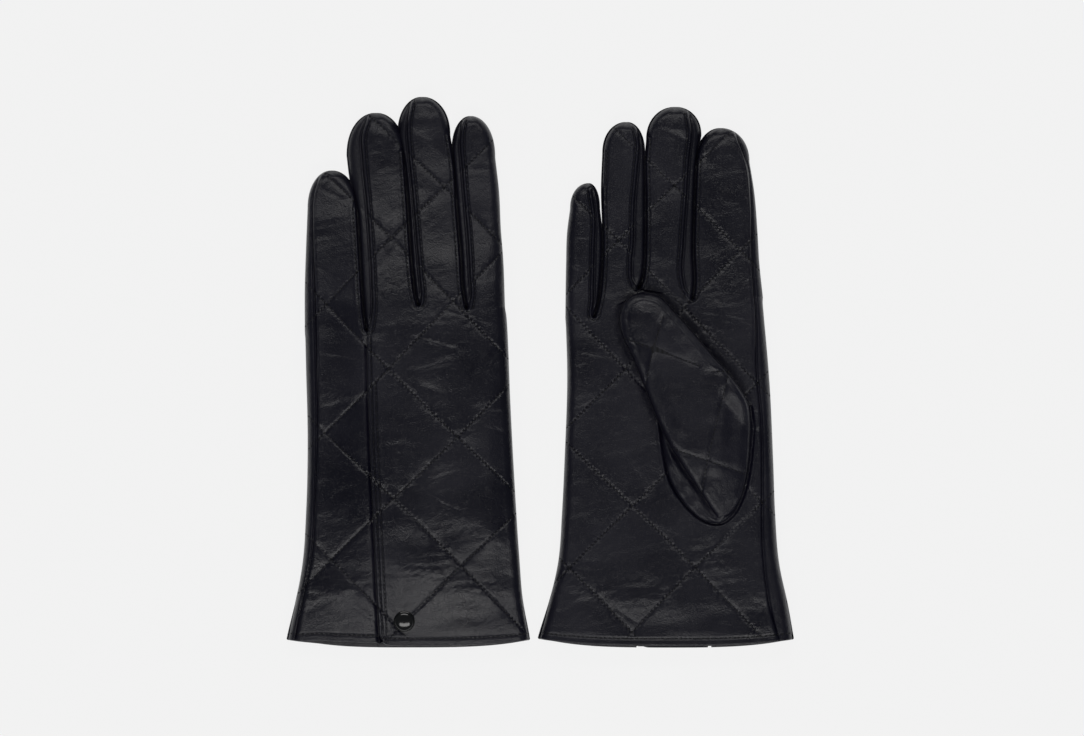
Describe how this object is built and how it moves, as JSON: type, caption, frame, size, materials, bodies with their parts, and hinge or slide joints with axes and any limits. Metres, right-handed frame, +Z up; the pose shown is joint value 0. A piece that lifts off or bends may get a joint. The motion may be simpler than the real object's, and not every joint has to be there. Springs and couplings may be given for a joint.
{
  "type": "pair of quilted leather gloves",
  "caption": "Pair of short quilted dark leather gloves with lined fingers, folded thumbs and a snapped side vent, lying side by side, one back up and one palm up.",
  "frame": {"origin": "floor level, at the middle of the box round both gloves", "axes": "+Y along the fingers towards the fingertips, +X from the left-hand glove to the right-hand glove, +Z up"},
  "size_m": [0.2282, 0.2464, 0.0187],
  "materials": {
    "nappa_leather": "soft dark navy nappa with a low broad sheen",
    "fourchette_leather": "thin dark navy nappa, slightly duller",
    "knit_lining": "dark fine knit",
    "black_enamel": "glossy black enamelled cap",
    "fastener_steel": "dark nickel-plated steel"
  },
  "bodies": {
    "left_hand": {"left_palm_panel": "nappa_leather", "left_side_panel": "nappa_leather", "left_back_panel": "nappa_leather", "left_cuff_hem": "nappa_leather", "left_hand_lining": "knit_lining", "left_snap_stud": "fastener_steel", "left_snap_post": "fastener_steel"},
    "left_flap": {"left_cuff_flap": "nappa_leather", "left_snap_cap": "black_enamel", "left_snap_socket": "fastener_steel"},
    "left_thumb": {"left_thumb_front": "nappa_leather", "left_thumb_back": "nappa_leather", "left_thumb_gusset": "nappa_leather", "left_thumb_lining": "knit_lining"},
    "left_pinky_finger": {"left_pinky_back": "nappa_leather", "left_pinky_palm": "nappa_leather", "left_pinky_fourchette": "fourchette_leather", "left_pinky_lining": "knit_lining"},
    "left_ring_finger": {"left_ring_back": "nappa_leather", "left_ring_palm": "nappa_leather", "left_ring_fourchette": "fourchette_leather", "left_ring_lining": "knit_lining"},
    "left_middle_finger": {"left_middle_back": "nappa_leather", "left_middle_palm": "nappa_leather", "left_middle_fourchette": "fourchette_leather", "left_middle_lining": "knit_lining"},
    "left_index_finger": {"left_index_back": "nappa_leather", "left_index_palm": "nappa_leather", "left_index_fourchette": "fourchette_leather", "left_index_lining": "knit_lining"},
    "right_hand": {"right_palm_panel": "nappa_leather", "right_side_panel": "nappa_leather", "right_back_panel": "nappa_leather", "right_cuff_hem": "nappa_leather", "right_hand_lining": "knit_lining", "right_snap_stud": "fastener_steel", "right_snap_post": "fastener_steel"},
    "right_flap": {"right_cuff_flap": "nappa_leather", "right_snap_cap": "black_enamel", "right_snap_socket": "fastener_steel"},
    "right_thumb": {"right_thumb_front": "nappa_leather", "right_thumb_back": "nappa_leather", "right_thumb_gusset": "nappa_leather", "right_thumb_lining": "knit_lining"},
    "right_pinky_finger": {"right_pinky_back": "nappa_leather", "right_pinky_palm": "nappa_leather", "right_pinky_fourchette": "fourchette_leather", "right_pinky_lining": "knit_lining"},
    "right_ring_finger": {"right_ring_back": "nappa_leather", "right_ring_palm": "nappa_leather", "right_ring_fourchette": "fourchette_leather", "right_ring_lining": "knit_lining"},
    "right_middle_finger": {"right_middle_back": "nappa_leather", "right_middle_palm": "nappa_leather", "right_middle_fourchette": "fourchette_leather", "right_middle_lining": "knit_lining"},
    "right_index_finger": {"right_index_back": "nappa_leather", "right_index_palm": "nappa_leather", "right_index_fourchette": "fourchette_leather", "right_index_lining": "knit_lining"}
  },
  "joints": [
    {"name": "left_pinky_curl", "type": "hinge", "parent": "left_hand", "child": "left_pinky_finger", "pos_m": [-0.0945, 0.03083, 0.0083], "axis": [-1, 0, 0], "range_deg": [0, 80]},
    {"name": "left_ring_curl", "type": "hinge", "parent": "left_hand", "child": "left_ring_finger", "pos_m": [-0.0708, 0.04183, 0.0083], "axis": [-0.9984, -0.0558, 0], "range_deg": [0, 80]},
    {"name": "left_middle_curl", "type": "hinge", "parent": "left_hand", "child": "left_middle_finger", "pos_m": [-0.0483, 0.04183, 0.0083], "axis": [-0.9979, -0.0645, 0], "range_deg": [0, 80]},
    {"name": "left_index_curl", "type": "hinge", "parent": "left_hand", "child": "left_index_finger", "pos_m": [-0.0267, 0.04083, 0.0083], "axis": [-0.9973, -0.0732, 0], "range_deg": [0, 80]},
    {"name": "left_thumb_swing", "type": "hinge", "parent": "left_hand", "child": "left_thumb", "pos_m": [-0.0216, -0.03817, 0.00815], "axis": [0, -1, 0], "range_deg": [0, 90]},
    {"name": "left_flap_fold", "type": "hinge", "parent": "left_hand", "child": "left_flap", "pos_m": [-0.05885, -0.09817, 0.01452], "axis": [-0.5631, 0.8161, 0.1303], "range_deg": [0, 100]},
    {"name": "right_pinky_curl", "type": "hinge", "parent": "right_hand", "child": "right_pinky_finger", "pos_m": [0.0177, 0.02583, 0.0104], "axis": [0.9986, -0.0523, 0], "range_deg": [0, 80]},
    {"name": "right_ring_curl", "type": "hinge", "parent": "right_hand", "child": "right_ring_finger", "pos_m": [0.0355, 0.03833, 0.0104], "axis": [0.9994, -0.0349, 0], "range_deg": [0, 80]},
    {"name": "right_middle_curl", "type": "hinge", "parent": "right_hand", "child": "right_middle_finger", "pos_m": [0.0573, 0.03833, 0.0104], "axis": [0.9995, -0.0332, 0], "range_deg": [0, 80]},
    {"name": "right_index_curl", "type": "hinge", "parent": "right_hand", "child": "right_index_finger", "pos_m": [0.0842, 0.03433, 0.0104], "axis": [0.9989, 0.0471, 0], "range_deg": [0, 80]},
    {"name": "right_thumb_swing", "type": "hinge", "parent": "right_hand", "child": "right_thumb", "pos_m": [0.0946, -0.03817, 0.01055], "axis": [0, 1, 0], "range_deg": [0, 90]},
    {"name": "right_flap_fold", "type": "hinge", "parent": "right_hand", "child": "right_flap", "pos_m": [0.05735, -0.09817, 0.0016], "axis": [0.5672, -0.8221, 0.0493], "range_deg": [0, 100]},
    {"name": "right_glove_lift", "type": "slide", "parent": "left_hand", "child": "right_hand", "axis": [0, 0, 1], "range_m": [0, 0.15]}
  ]
}
